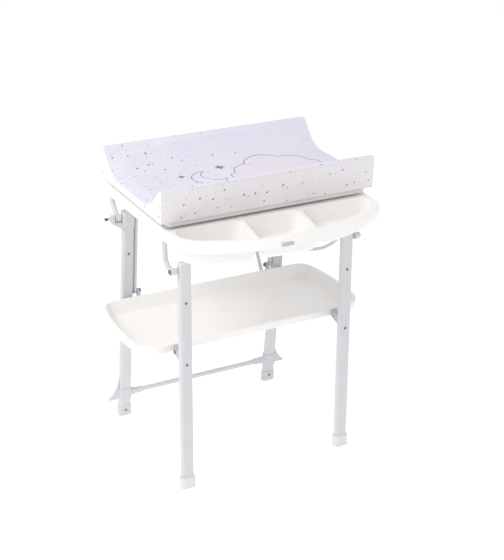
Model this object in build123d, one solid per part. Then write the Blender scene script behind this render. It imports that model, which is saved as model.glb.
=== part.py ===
"""Folding baby changing table: two leg frames, a tub with three compartments, a shelf tray and a padded mat.

Millimetres, +Z up, +X to the right seen from the front, +Y to the back. The design frame has Y = 0 under the
middle of the mat; the parts are exported with the origin on the floor, under the middle of the whole outline.
"""
import copy
import math
import os

from build123d import *

os.makedirs("parts", exist_ok=True)

# ---- driving dimensions ------------------------------------------------------------------------------------
# legs: oval steel tube, wide face to the front
leg_width = 46.0
leg_depth = 24.0
leg_corner = 10.0
leg_wall = 1.5
leg_x = 311.0
front_foot_y = -262.0
front_lean = 34.0 / 820.0
rear_foot_y = 285.0
rear_lean = -61.0 / 790.0

# fold: two equal, parallel pivot pairs
front_pivot_z = 815.0
rear_pivot_z = 836.0
tray_rear_pivot_z = 527.0

# feet and lower fittings
foot_height = 42.0
foot_sole = 8.0
foot_rounding = 3.0
front_foot_wall = 5.0
rear_foot_wall = 2.2
crossbar_z = 95.0
crossbar_diameter = 18.0
fin_reach = 42.0
fin_height = 100.0
fin_thickness = 9.0
fin_hollow = 110.0
clamp_wall = 3.0
clamp_below = 22.0
clamp_above = 24.0
socket_length = 46.0
socket_step = 20.0
bar_end_gap = 2.5

# rear brace
brace_x = 150.0
brace_drop = 446.0
brace_radius = 7.0
brace_foot_radius = 8.0
collar_half_length = 11.0
collar_wall = 5.0

# side rails under the tub rim
rail_diameter = 18.0
rail_wall = 1.5
rail_gap = 8.0
rail_drop = 20.0
rail_front_y = -160.0
rail_rear_inset = 23.0
rail_rear_rise = 42.0
rail_bends = (38.0, 30.0, 28.0, 24.0)
eye_radius = 12.0
eye_proud = 0.4
saddle_half_width = 14.0
saddle_half_length = 17.0
saddle_inset = 75.0

# pivots and fasteners
bolt_diameter = 8.0
rod_diameter = 12.0
rod_bore = 8.0
run_clearance = 0.05
slip_clearance = 0.2
side_play = 0.3
peg_reach = 27.6
button_travel = 4.0
button_stem = 16.0
button_height = 6.0
screw_head_radius = 4.5
screw_head_height = 2.0
screw_seat = 0.02
front_screw_z = (700.0, 475.0)
rear_screw_z = (690.0, 24.0)
touch_gap = 0.05
plug_dome = 7.0

# caps on the rear legs
cap_wall = 3.0
cap_below = 42.0
cap_above = 8.0
cap_arm_half_depth = 10.0
ear_gap = 3.5
ear_thickness = 10.0

# shelf tray's bars, forks and ears
hanger_gap = 3.5
hanger_thickness = 9.0
hanger_width = 17.0
fork_half_width = 21.0
fork_slot_half_width = 13.0
fork_half_height = 17.0
ear_half_width = 11.0
ear_side_gap = 2.0
ear_bore_clearance = 0.6

# tub
rim_overhang = 34.0
rim_behind_hinge = 39.0
rim_side_front_y = -337.0
rim_front_y = -445.0
rim_top_z = 965.0
rim_band = 35.0
rim_lip = 24.0
rim_rounding = 9.0
rim_front_corner = 110.0
rim_rear_corner = 40.0
shell = 3.0
basin_side_gap = 26.0
basin_front_y = -215.0
basin_rear_y = 225.0
basin_depth = 137.0
basin_taper = 9.0
basin_corner = 60.0
basin_floor_radius = 25.0
well_back_y = -245.0
well_taper = 8.0
well_corner = 28.0
well_floor_radius = 10.0
left_well_depth = 88.0
middle_well_depth = 76.0
right_well_depth = 68.0
divider_left_x = -122.0
divider_right_x = 93.0
divider_thickness = 15.0
divider_fall = 27.0

# oval plate on the rim's front band
badge_x = -52.0
badge_length = 44.0
badge_height = 11.0
badge_thickness = 1.6

# drain
drain_x = 45.0
drain_y = -150.0
drain_radius = 17.0
drain_flange = 2.0
drain_flange_height = 1.5
drain_neck = 5.0
drain_bowl = 8.0
drain_depth = 22.0
plug_clearance = 0.3
plug_cap_height = 3.2
plug_ring_radius = 7.0
plug_ring_thickness = 3.2
hose_diameter = 11.0
spigot_length = 34.0
nozzle_collar = 1.5
nozzle_length = 7.0

# shelf tray
tray_overhang = 141.0
tray_front_y = -172.0
tray_rear_gap = 7.0
tray_top_z = 518.0
tray_band = 26.0
tray_lip = 14.0
tray_depth = 48.0
tray_taper = 24.0
tray_front_corner = 85.0
tray_rear_corner = 60.0
tray_front_bow = 22.0
tray_rear_bow = 32.0
tray_rounding = 5.5
tray_floor_radius = 16.0

# mat and its board
mat_length = 800.0
mat_width = 486.0
mat_middle = 31.0
wing_height = 116.0
wing_top = 16.0
wing_rounding = 9.0
wing_width = 138.0
board_end_inset = 27.5
board_side_inset = 10.0
board_thickness = 14.0
board_gap = 8.0
board_corner = 14.0
bumper_radius = 9.0
bumper_inset = 55.0
hinge_x = 220.0
hinge_length = 60.0
hinge_radius = 4.0
hinge_lift = 0.5
hinge_offset = 13.0
hinge_plate = 2.0
hinge_reach = 45.0
hinge_pin_radius = 2.0
hinge_pin_fit = 0.02

# ---- derived places ----------------------------------------------------------------------------------------


def front_leg_y(z):
    return front_foot_y + front_lean * z


def rear_leg_y(z):
    return rear_foot_y + rear_lean * z


front_pivot_y = front_leg_y(front_pivot_z)
rear_pivot_y = rear_leg_y(rear_pivot_z)
tray_rear_pivot_y = rear_leg_y(tray_rear_pivot_z)
link_y = rear_pivot_y - front_pivot_y
link_z = rear_pivot_z - front_pivot_z
tray_front_pivot_y = tray_rear_pivot_y - link_y
tray_front_pivot_z = tray_rear_pivot_z - link_z
leg_inner_x = leg_x - leg_width / 2
leg_outer_x = leg_x + leg_width / 2
rail_x = leg_outer_x + rail_gap + rail_diameter / 2
eye_inner_x = rail_x - rail_diameter / 2 - eye_proud
eye_outer_x = rail_x + rail_diameter / 2 + eye_proud
peg_x = eye_outer_x + peg_reach
tray_rear_y = rear_leg_y(tray_top_z) - leg_depth / 2 - tray_rear_gap
board_bottom_z = rim_top_z + board_gap
board_top_z = board_bottom_z + board_thickness
board_length = mat_length - 2 * board_end_inset
board_width = mat_width - 2 * board_side_inset
hinge_y = board_width / 2 + hinge_offset
hinge_z = rim_top_z + hinge_radius + hinge_lift
rim_half_width = rail_x + rim_overhang
rim_rear_y = hinge_y + rim_behind_hinge
rail_run_z = rim_top_z - rail_drop
rail_rear_y = rim_rear_y - rail_rear_inset
basin_half_width = leg_inner_x - basin_side_gap
tray_half_length = leg_x + tray_overhang
front_leg_top_z = front_pivot_z + 20.0
rear_leg_top_z = rear_pivot_z + 14.0
floor_z = rim_top_z - basin_depth


# how far a cutting solid runs past the face that it cuts
through = 5.0


# ---- helpers -----------------------------------------------------------------------------------------------
def rod_x(x0, x1, y, z, radius):
    """Round bar along X."""
    return Pos((x0 + x1) / 2, y, z) * Rot(0, 90, 0) * Cylinder(radius, abs(x1 - x0))


def rod_y(x, y0, y1, z, radius):
    """Round bar along Y."""
    return Pos(x, (y0 + y1) / 2, z) * Rot(90, 0, 0) * Cylinder(radius, abs(y1 - y0))


def rod_z(x, y, z0, z1, radius):
    """Round bar along Z."""
    return Pos(x, y, (z0 + z1) / 2) * Cylinder(radius, abs(z1 - z0))


def block(x0, x1, y0, y1, z0, z1):
    """Box between two corners."""
    return Pos((x0 + x1) / 2, (y0 + y1) / 2, (z0 + z1) / 2) * Box(abs(x1 - x0), abs(y1 - y0), abs(z1 - z0))


def mirrored(solid):
    return mirror(solid, about=Plane.YZ)


def along_leg(foot_y, lean, z0, z1, grow=0.0):
    """Solid of the leg's oval section, grown all round, between two heights on its centre line."""
    scale = math.hypot(1.0, lean)
    plane = Plane(origin=(leg_x, foot_y, 0), x_dir=(1, 0, 0), z_dir=(0, lean, 1))
    section = RectangleRounded(leg_width + 2 * grow, leg_depth + 2 * grow, leg_corner + grow)
    return extrude(plane.offset(z0 * scale) * section, amount=(z1 - z0) * scale)


def profile_x(points, x0, x1):
    """Extrusion along X of a polygon given in (y, z)."""
    face = make_face(Polyline([(x0, y, z) for y, z in points], close=True))
    return extrude(face, amount=x1 - x0, dir=(1, 0, 0))


def profile_y(points, y0, y1):
    """Extrusion along Y of a polygon given in (x, z)."""
    face = make_face(Polyline([(x, y0, z) for x, z in points], close=True))
    return extrude(face, amount=y1 - y0, dir=(0, 1, 0))


def screw_head(x, y, z, face):
    """Low domed screw head with a short shank behind it; face is the direction the head looks."""
    head = Cylinder(screw_head_radius, screw_head_height, align=(Align.CENTER, Align.CENTER, Align.MIN))
    head = fillet(head.edges().group_by(Axis.Z)[-1], 0.6 * screw_head_height)
    slot_length = screw_head_radius
    slot_width = 0.2 * screw_head_radius
    slot_depth = 0.6 * screw_head_height
    cross = Box(slot_length, slot_width, 2 * slot_depth) + Box(slot_width, slot_length, 2 * slot_depth)
    head -= Pos(0, 0, screw_head_height) * cross
    return Plane(origin=(x, y, z), z_dir=face) * head


# ---- legs and feet -----------------------------------------------------------------------------------------
def leg(foot_y, lean, top_z, pivot_y, pivot_z, bore):
    tube = along_leg(foot_y, lean, foot_sole, top_z)
    tube -= along_leg(foot_y, lean, foot_sole - through, top_z + through, -leg_wall)
    return tube - rod_x(leg_inner_x - through, leg_outer_x + through, pivot_y, pivot_z, bore)


def foot_cap(foot_y, lean, wall):
    """Plastic foot that sleeves the leg's end, cut flat where it stands on the floor."""
    cap = along_leg(foot_y, lean, -through, foot_height, wall)
    cap = fillet(cap.edges().group_by(Axis.Z)[-1], min(wall * 0.7, foot_rounding))
    cap -= along_leg(foot_y, lean, foot_sole - slip_clearance, foot_height + through, slip_clearance)
    reach = leg_width + leg_depth
    return cap & block(leg_x - reach, leg_x + reach, foot_y - reach, foot_y + reach, 0, 2 * foot_height)


def top_plug():
    """Domed plug in the open top of a front leg."""
    dome_z = front_leg_top_z + plug_dome
    dome = along_leg(front_foot_y, front_lean, front_leg_top_z + 2 * touch_gap, dome_z)
    dome = fillet(dome.edges().group_by(Axis.Z)[-1], 0.7 * plug_dome)
    stem_z = front_pivot_z + bolt_diameter / 2 + 2
    stem = along_leg(front_foot_y, front_lean, stem_z, front_leg_top_z + 1, -leg_wall - slip_clearance)
    return dome + stem


# ---- rear frame fittings -----------------------------------------------------------------------------------
def rear_top_bracket():
    """Moulded cap on the rear leg's top, with an arm that passes under the rail eye to a second ear."""
    low_z = rear_pivot_z - cap_below
    cap = along_leg(rear_foot_y, rear_lean, low_z, rear_leg_top_z + cap_above, cap_wall)
    cap = fillet(cap.edges().group_by(Axis.Z)[-1], 0.6 * cap_above)
    ear_in = eye_outer_x + ear_gap
    ear_out = ear_in + ear_thickness
    under_eye = rear_pivot_z - eye_radius - 5
    arm = [
        (leg_outer_x - 4, under_eye - 36),
        (leg_outer_x + 8, under_eye - 22),
        (ear_out, under_eye - 2),
        (ear_out, rear_pivot_z + 10),
        (ear_in, rear_pivot_z + 10),
        (ear_in, under_eye + 2),
        (leg_outer_x - 4, under_eye - 3),
    ]
    arm_solid = profile_y(arm, rear_pivot_y - cap_arm_half_depth, rear_pivot_y + cap_arm_half_depth)
    cap += fillet(arm_solid.edges().filter_by(Axis.Y), 2.0)
    cap -= along_leg(rear_foot_y, rear_lean, low_z - cap_below, rear_leg_top_z + slip_clearance, slip_clearance)
    bore_start = leg_inner_x - cap_wall - through
    return cap - rod_x(bore_start, ear_out + through, rear_pivot_y, rear_pivot_z, rod_diameter / 2 + run_clearance)


def rear_top_rod():
    """Through rod that both rails turn on; its ends stand out as pegs."""
    bar = rod_x(-peg_x, peg_x, rear_pivot_y, rear_pivot_z, rod_diameter / 2)
    return bar - rod_x(-peg_x - through, peg_x + through, rear_pivot_y, rear_pivot_z, rod_bore / 2)


def release_button():
    """Dark push button on the peg's end, with a stem in the rod's bore."""
    head_x = peg_x + button_travel + 2 * touch_gap
    head_radius = rod_diameter / 2 - 2 * slip_clearance
    head = rod_x(head_x, head_x + button_height, rear_pivot_y, rear_pivot_z, head_radius)
    head = fillet(head.edges().group_by(Axis.X)[-1], button_height / 3)
    return head + rod_x(head_x - button_stem, head_x, rear_pivot_y, rear_pivot_z, rod_bore / 2 - run_clearance)


def fin_bracket():
    """Clamp round the rear leg near the floor: stepped socket inboard, triangular fin outboard."""
    low_z = crossbar_z - clamp_below
    high_z = crossbar_z + clamp_above
    y = rear_leg_y(crossbar_z)
    clamp = along_leg(rear_foot_y, rear_lean, low_z, high_z, clamp_wall)
    socket_end = leg_inner_x - socket_length
    socket_root = leg_inner_x + through
    clamp += rod_x(socket_end, socket_root, y, crossbar_z, crossbar_diameter / 2 + clamp_wall)
    clamp += rod_x(leg_inner_x - socket_step, socket_root, y, crossbar_z, crossbar_diameter / 2 + 1.5 * clamp_wall)
    top = Vector(leg_outer_x + 1, low_z + fin_height)
    heel_z = low_z + clamp_wall
    tip = Vector(leg_outer_x + fin_reach, heel_z + clamp_wall)
    fin = profile_y(
        [(top.X, top.Y), (top.X, heel_z), (tip.X - 2, heel_z), (tip.X, tip.Y)],
        y - fin_thickness / 2,
        y + fin_thickness / 2,
    )
    half = (tip - top).length / 2
    across = (tip - top).rotate(Axis.Z, 90).normalized()
    hollow = (top + tip) / 2 + across * math.sqrt(fin_hollow ** 2 - half ** 2)
    fin -= rod_y(hollow.X, y - fin_thickness, y + fin_thickness, hollow.Y, fin_hollow)
    clamp += sorted(fin.solids(), key=lambda s: s.volume)[-1]
    clamp -= along_leg(rear_foot_y, rear_lean, low_z - through, high_z + fin_height, slip_clearance)
    space_end = leg_inner_x - bar_end_gap + 0.5
    bar_space = rod_x(socket_end - through, space_end, y, crossbar_z, crossbar_diameter / 2 + slip_clearance)
    return clamp - bar_space


def rear_crossbar():
    end_x = leg_inner_x - bar_end_gap
    y = rear_leg_y(crossbar_z)
    bar = rod_x(-end_x, end_x, y, crossbar_z, crossbar_diameter / 2)
    return bar - rod_x(-end_x - through, end_x + through, y, crossbar_z, crossbar_diameter / 2 - rail_wall)


hanger_out = leg_inner_x - hanger_gap
hanger_in = hanger_out - hanger_thickness


def tray_hanger():
    """Flat bar beside the rear leg, from the top rod down to the tray's rear pivot."""
    top = (rear_pivot_y, rear_pivot_z)
    low = (tray_rear_pivot_y, tray_rear_pivot_z)
    length = math.hypot(top[0] - low[0], top[1] - low[1])
    plane = Plane(
        origin=(hanger_in, (top[0] + low[0]) / 2, (top[1] + low[1]) / 2),
        x_dir=(0, top[0] - low[0], top[1] - low[1]),
        z_dir=(1, 0, 0),
    )
    bar = extrude(plane * SlotCenterToCenter(length, hanger_width), amount=hanger_thickness)
    bar -= rod_x(hanger_in - through, hanger_out + through, top[0], top[1], rod_diameter / 2 + run_clearance)
    low_bore = bolt_diameter / 2 + run_clearance
    return bar - rod_x(hanger_in - through, hanger_out + through, low[0], low[1], low_bore)


def tray_rear_pin():
    """Bolt from the rear leg's inner wall through the hanger and the tray's rear ear."""
    end_x = hanger_in - ear_side_gap - ear_half_width - 3
    pin = rod_x(end_x, leg_inner_x - 2 * touch_gap, tray_rear_pivot_y, tray_rear_pivot_z, bolt_diameter / 2)
    head = rod_x(end_x - bolt_diameter / 2, end_x, tray_rear_pivot_y, tray_rear_pivot_z, bolt_diameter / 2 + 3)
    return pin + fillet(head.edges().group_by(Axis.X)[0], 1.5)


def rear_brace():
    """Single diagonal tube in the rear frame, from the top rod to the right rear leg below the tray."""
    top = Vector(brace_x, rear_pivot_y, rear_pivot_z)
    low_z = rear_pivot_z - brace_drop
    low = Vector(leg_inner_x - brace_foot_radius, rear_leg_y(low_z), low_z)
    axis = (low - top).normalized()
    start = top + axis * (rod_diameter / 2 + collar_wall - 1)
    path = Line(start, low)
    tube = sweep(Plane(origin=start, z_dir=axis) * Circle(brace_radius), path)
    collar_x0 = top.X - collar_half_length
    collar_x1 = top.X + collar_half_length
    collar = rod_x(collar_x0, collar_x1, top.Y, top.Z, rod_diameter / 2 + collar_wall)
    foot = rod_x(low.X - brace_foot_radius, leg_inner_x - 2 * touch_gap, low.Y, low.Z, brace_foot_radius)
    bore = rod_x(collar_x0 - through, collar_x1 + through, top.Y, top.Z, rod_diameter / 2 + run_clearance)
    return tube + foot + collar - bore


# ---- front frame fittings ----------------------------------------------------------------------------------
def tray_front_bracket():
    """Grey fork on the back of the front leg that carries the tray's front pivot pin."""
    y_face = front_leg_y(tray_front_pivot_z) + leg_depth / 2
    low_z = tray_front_pivot_z - fork_half_height
    high_z = tray_front_pivot_z + fork_half_height
    pin_y = tray_front_pivot_y
    side = [
        (y_face - 6, low_z),
        (pin_y + 3, tray_front_pivot_z - 11),
        (pin_y + 10, tray_front_pivot_z - 4),
        (pin_y + 10, tray_front_pivot_z + 6),
        (pin_y + 2, tray_front_pivot_z + 12),
        (y_face - 6, high_z),
    ]
    x0 = leg_x - fork_half_width
    x1 = leg_x + fork_half_width
    fork = profile_x(side, x0, x1)
    slot_x0 = leg_x - fork_slot_half_width
    slot_x1 = leg_x + fork_slot_half_width
    fork -= block(slot_x0, slot_x1, y_face + 6, pin_y + fork_half_width, low_z - through, high_z + through)
    fork -= along_leg(front_foot_y, front_lean, low_z - through, high_z + through, slip_clearance)
    fork = sorted(fork.solids(), key=lambda s: s.volume)[-1]
    return fork - rod_x(x0 - through, x1 + through, pin_y, tray_front_pivot_z, bolt_diameter / 2 + run_clearance)


def tray_front_pin():
    head_x = leg_x + fork_half_width
    head_height = bolt_diameter / 2 - 1
    pin = rod_x(leg_x - fork_half_width, head_x, tray_front_pivot_y, tray_front_pivot_z, bolt_diameter / 2)
    head = rod_x(head_x, head_x + head_height, tray_front_pivot_y, tray_front_pivot_z, bolt_diameter / 2 + 2)
    return pin + head


def front_pivot_bolt():
    """Shoulder bolt through the front leg and the rail's front eye, with a domed head outboard."""
    head_x = eye_outer_x + side_play
    shank = rod_x(leg_inner_x + leg_wall, head_x, front_pivot_y, front_pivot_z, bolt_diameter / 2)
    head = rod_x(head_x, head_x + 0.6 * bolt_diameter, front_pivot_y, front_pivot_z, bolt_diameter)
    return shank + fillet(head.edges().group_by(Axis.X)[-1], 0.4 * bolt_diameter)


def spacer(y, z, shaft):
    """Washer that keeps a rail eye off the leg."""
    ring = rod_x(leg_outer_x + side_play + 0.1, eye_inner_x - side_play, y, z, shaft / 2 + screw_head_radius)
    return ring - rod_x(leg_outer_x - through, eye_inner_x + through, y, z, shaft / 2 + run_clearance)


# ---- top frame ---------------------------------------------------------------------------------------------
def rail_path(trim):
    """Centre line of the side rail, from the front eye up under the rim and down to the rear eye."""
    corners = [
        (front_pivot_y + trim, front_pivot_z),
        (rail_front_y - 12, front_pivot_z),
        (rail_front_y, rail_run_z),
        (rail_rear_y, rail_run_z),
        (rail_rear_y, rear_pivot_z + rail_rear_rise),
        (rear_pivot_y + trim * 0.7, rear_pivot_z + trim * 0.7),
    ]
    return FilletPolyline([(rail_x, y, z) for y, z in corners], radius=list(rail_bends))


def side_rail():
    """Bent steel tube with a bored eye at each end."""
    path = rail_path(2.0)
    tube = sweep(Plane(origin=path @ 0, z_dir=path % 0) * Circle(rail_diameter / 2), path)
    bore_path = rail_path(eye_radius + 2 * rail_wall)
    section = Plane(origin=bore_path @ 0, z_dir=bore_path % 0) * Circle(rail_diameter / 2 - rail_wall)
    tube += rod_x(eye_inner_x, eye_outer_x, front_pivot_y, front_pivot_z, eye_radius)
    tube += rod_x(eye_inner_x, eye_outer_x, rear_pivot_y, rear_pivot_z, eye_radius)
    tube -= sweep(section, bore_path)
    x0 = eye_inner_x - through
    x1 = eye_outer_x + through
    tube -= rod_x(x0, x1, front_pivot_y, front_pivot_z, bolt_diameter / 2 + run_clearance)
    return tube - rod_x(x0, x1, rear_pivot_y, rear_pivot_z, rod_diameter / 2 + run_clearance)


saddle_y = (rail_front_y + saddle_inset, rail_rear_y - saddle_inset)


def rail_saddle(y):
    """Moulded saddle between the rail and the underside of the rim."""
    x0 = rail_x - saddle_half_width
    x1 = rail_x + saddle_half_width
    y0 = y - saddle_half_length
    y1 = y + saddle_half_length
    pad = block(x0, x1, y0, y1, rail_run_z - 4, rim_top_z - shell - touch_gap)
    pad = fillet(pad.edges().filter_by(Axis.Z), 3.0)
    return pad - rod_y(rail_x, y0 - through, y1 + through, rail_run_z, rail_diameter / 2 + slip_clearance)


def rim_outline():
    """Plan of the tub's rim: straight back and sides, and a front that bows forward."""
    back = Polyline([
        (-rim_half_width, rim_side_front_y),
        (-rim_half_width, rim_rear_y),
        (rim_half_width, rim_rear_y),
        (rim_half_width, rim_side_front_y),
    ])
    bow = ThreePointArc((rim_half_width, rim_side_front_y), (0, rim_front_y), (-rim_half_width, rim_side_front_y))
    plan = make_face(back + bow)
    plan = fillet(plan.vertices().group_by(Axis.Y)[0], rim_front_corner)
    return fillet(plan.vertices().group_by(Axis.Y)[-1], rim_rear_corner)


def well_plan(x0, x1, grow):
    """Plan of one compartment between two X limits, grown all round from its inside."""
    front = offset(rim_outline(), amount=-rim_lip)
    zone = Pos((x0 + x1) / 2, well_back_y - 200) * Rectangle(x1 - x0, 400)
    core = offset(front & zone, amount=-well_corner)
    return offset(core, amount=well_corner + grow)


def sunk(plan, depth, taper, bottom_radius):
    """Solid that hangs from the rim's top surface down to a rounded floor, narrowing as it goes."""
    body = extrude(Pos(0, 0, rim_top_z) * plan, amount=-depth, taper=taper)
    return fillet(body.edges().group_by(Axis.Z)[0], bottom_radius)


well_side_x = rim_half_width - rim_lip
wells = (
    (-well_side_x - 40, divider_left_x - divider_thickness / 2, left_well_depth),
    (divider_left_x + divider_thickness / 2, divider_right_x - divider_thickness / 2, middle_well_depth),
    (divider_right_x + divider_thickness / 2, well_side_x + 40, right_well_depth),
)


def basin_plan(grow):
    width = 2 * (basin_half_width + grow)
    depth = basin_rear_y - basin_front_y + 2 * grow
    return Pos(0, (basin_front_y + basin_rear_y) / 2) * RectangleRounded(width, depth, basin_corner + grow)


def divider_room(x, grow=0.0):
    """Room over a divider that falls towards the front, grown all round for the web that closes it."""
    well_front_y = rim_front_y + rim_lip
    fall = [
        (well_back_y - 18 + 4 * grow, rim_top_z + 1),
        (well_front_y + 38, rim_top_z - divider_fall - grow),
        (well_front_y + 20 - grow, rim_top_z - divider_fall - grow),
        (well_front_y + 4 - grow, rim_top_z + 1),
    ]
    half = divider_thickness / 2 + well_corner / 2 + grow
    return profile_x(fall, x - half, x + half)


def tub():
    """One moulding: rim with a turned-down band, bathing basin, and three front compartments."""
    rim = extrude(Pos(0, 0, rim_top_z - rim_band) * rim_outline(), amount=rim_band)
    rim = fillet(rim.edges().group_by(Axis.Z)[-1], rim_rounding)
    under = offset(rim_outline(), amount=-shell)
    rim -= extrude(Pos(0, 0, rim_top_z - rim_band - 1) * under, amount=rim_band - shell + 1)
    body = rim + sunk(basin_plan(shell), basin_depth + shell, basin_taper, basin_floor_radius + shell)
    for x0, x1, depth in wells:
        body += sunk(well_plan(x0, x1, shell), depth + shell, well_taper, well_floor_radius + 2)
    inside = extrude(Pos(0, 0, rim_top_z - rim_band) * under, amount=rim_band)
    for x in (divider_left_x, divider_right_x):
        body += divider_room(x, shell) & inside
    body -= sunk(basin_plan(0), basin_depth, basin_taper, basin_floor_radius)
    for x0, x1, depth in wells:
        body -= sunk(well_plan(x0, x1, 0), depth, well_taper, well_floor_radius)
    for x in (divider_left_x, divider_right_x):
        body -= divider_room(x)
    body -= rod_z(drain_x, drain_y, floor_z - shell - through, floor_z + through, drain_radius - drain_neck)
    return sorted(body.solids(), key=lambda s: s.volume)[-1]


def drain_fitting():
    """Drain flange in the basin floor with an elbow below it that ends in the hose spigot."""
    top_z = floor_z + drain_flange_height
    low_z = floor_z - shell - drain_depth
    body = rod_z(drain_x, drain_y, low_z, floor_z - shell - touch_gap, drain_radius)
    body = fillet(body.edges().group_by(Axis.Z)[0], 5.0)
    body += rod_z(drain_x, drain_y, low_z + shell, top_z, drain_radius - drain_neck - run_clearance)
    body += rod_z(drain_x, drain_y, floor_z + touch_gap, top_z, drain_radius + drain_flange)
    body += extrude(Plane(origin=hose_root, z_dir=hose_start) * Circle(hose_diameter / 2), amount=-spigot_length)
    return body - rod_z(drain_x, drain_y, low_z + 2 * shell, top_z + through, drain_radius - drain_bowl)


def drain_plug():
    """Tapered stopper with a finger ring, standing in the drain fitting."""
    seat_z = floor_z + drain_flange_height + side_play
    stem = rod_z(drain_x, drain_y, floor_z - 12, seat_z + 0.2, drain_radius - drain_bowl - plug_clearance)
    cap = rod_z(drain_x, drain_y, seat_z, seat_z + plug_cap_height, drain_radius - 3)
    cap = fillet(cap.edges().group_by(Axis.Z)[-1], 1.2)
    ring_z = seat_z + plug_cap_height + plug_ring_radius
    ring = Pos(drain_x, drain_y, ring_z) * Rot(90, 0, 0) * Torus(plug_ring_radius, plug_ring_thickness / 2)
    return stem + cap + ring


hose_root = Vector(drain_x + 24, drain_y - 32, floor_z - shell - drain_depth / 2)
hose_rest = [
    (104, -222, floor_z - 13),
    (131, -243, floor_z - 16),
    (164, -251, floor_z - 22),
    (197, -253, floor_z - 23),
    (228, -255, floor_z - 15),
    (252, -260, floor_z + 3),
    (265, -267, floor_z + 25),
]
hose_end = Vector(268, -272, floor_z + 47)
hose_start = (Vector(*hose_rest[0]) - hose_root).normalized()


def hose_radii(points):
    """Largest arc that each corner's two runs allow."""
    radii = []
    for before, here, after in zip(points, points[1:], points[2:]):
        turn = math.radians((here - before).get_angle(after - here))
        run = min((here - before).length, (after - here).length)
        radii.append(0.45 * run / math.tan(turn / 2))
    return radii


def drain_hose():
    """Soft hose that sags from the drain spigot to its parking clip under the rim."""
    points = [hose_root] + [Vector(*p) for p in hose_rest] + [hose_end]
    radii = hose_radii(points)
    print("hose radii", [round(r) for r in radii])
    path = FilletPolyline(*points, radius=radii)
    hose = sweep(Plane(origin=path @ 0, z_dir=path % 0) * Circle(hose_diameter / 2), path)
    print("hose length", round(path.length), "volume ratio",
          round(hose.volume / (math.pi * hose_diameter ** 2 / 4 * path.length), 4))
    return hose


def hose_end_fitting():
    """Barbed nozzle in the free end of the hose."""
    direction = (hose_end - Vector(*hose_rest[-1])).normalized()
    collar_plane = Plane(origin=hose_end, z_dir=direction)
    collar = extrude(collar_plane * Circle(hose_diameter / 2 + nozzle_collar), amount=nozzle_length)
    tip_plane = Plane(origin=hose_end + direction * nozzle_length, z_dir=direction)
    tip = extrude(tip_plane * Circle(hose_diameter / 2 - 2), amount=nozzle_length)
    return collar + tip


def hose_clip():
    """Parking clip under the right-hand compartment that grips the nozzle's collar."""
    top_z = rim_top_z - right_well_depth - shell
    x = hose_end.X
    y = hose_end.Y
    half = hose_diameter
    clip = block(x - half, x + half, y - half - 2, y + half - 2, hose_end.Z - 1, top_z + 1)
    clip = fillet(clip.edges().filter_by(Axis.Z), 2.5)
    direction = (hose_end - Vector(*hose_rest[-1])).normalized()
    grip = Circle(hose_diameter / 2 + nozzle_collar + slip_clearance)
    clip -= extrude(Plane(origin=hose_end - direction * 12, z_dir=direction) * grip, amount=4 * nozzle_length)
    clip -= tub_solid
    return sorted(clip.solids(), key=lambda s: s.volume)[-1]


def rim_badge():
    """Plain oval plate on the front of the rim band."""
    z = rim_top_z - rim_band + 13
    front_y = rim_front_y - badge_thickness
    front = Plane(origin=(badge_x, front_y, z), x_dir=(1, 0, 0), z_dir=(0, 1, 0))
    blank = extrude(front * SlotOverall(badge_length, badge_height), amount=through + badge_thickness)
    inside = extrude(Pos(0, 0, z - badge_height) * rim_outline(), amount=2 * badge_height)
    return sorted((blank - inside).solids(), key=lambda s: s.center().Y)[0]


def tub_screws():
    """Two screws through the rim into each rail saddle."""
    return Compound(children=[
        rod_z(side * rail_x, y, rim_top_z, rim_top_z + screw_head_height, screw_head_radius)
        for side in (-1, 1)
        for y in saddle_y
    ])


# ---- mat, board and hinges ---------------------------------------------------------------------------------
def mat_board():
    half_length = board_length / 2
    half_width = board_width / 2
    board = block(-half_length, half_length, -half_width, half_width, board_bottom_z, board_top_z)
    board = fillet(board.edges().filter_by(Axis.Z), board_corner)
    return fillet(board.edges().group_by(Axis.Z)[0], 3.0)


def changing_mat():
    """Padded mat: thin in the middle, with a full-height wing along each long side."""
    half = mat_width / 2
    crest = board_top_z + wing_height
    low = board_top_z + mat_middle
    inner = half - wing_width
    bend = half - 0.62 * wing_width
    bend_z = low + 0.25 * (crest - low)
    points = [(-half, board_top_z), (half, board_top_z), (half, crest), (half - wing_top, crest)]
    points += [(bend, bend_z), (inner, low), (-inner, low), (-bend, bend_z)]
    points += [(-half + wing_top, crest), (-half, crest)]
    mat = profile_x(points, -mat_length / 2, mat_length / 2)
    outer = [e for e in mat.edges().filter_by(Axis.X) if abs(e.center().Y) > half - 1 and e.center().Z > low]
    return fillet(outer, wing_rounding)


def board_bumpers():
    """Rubber buffers under the board."""
    x = (basin_half_width + board_length / 2) / 2
    y = board_width / 2 - bumper_inset
    low_z = rim_top_z + 0.5
    return Compound(children=[
        rod_z(side_x * x, side_y * y, low_z, board_bottom_z, bumper_radius)
        for side_x in (-1, 1)
        for side_y in (-1, 1)
    ])


def hinge_bracket(x):
    """Lower hinge leaf on the rim, with the two outer knuckles."""
    third = hinge_length / 3
    half = hinge_length / 2
    neck = hinge_radius - hinge_plate
    leaf = block(x - half, x + half, hinge_y - neck, rim_rear_y - 12, rim_top_z, rim_top_z + hinge_plate)
    slot = hinge_radius + hinge_lift
    leaf -= block(x - third / 2, x + third / 2, hinge_y - slot, hinge_y + slot, rim_top_z - through, hinge_z)
    for shift in (-third, third):
        x0 = x + shift - third / 2
        leaf += rod_x(x0, x0 + third, hinge_y, hinge_z, hinge_radius)
        leaf += block(x0, x0 + third, hinge_y - neck, hinge_y + neck, rim_top_z, hinge_z)
    return leaf - rod_x(x - hinge_length, x + hinge_length, hinge_y, hinge_z, hinge_pin_radius + hinge_pin_fit)


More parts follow.
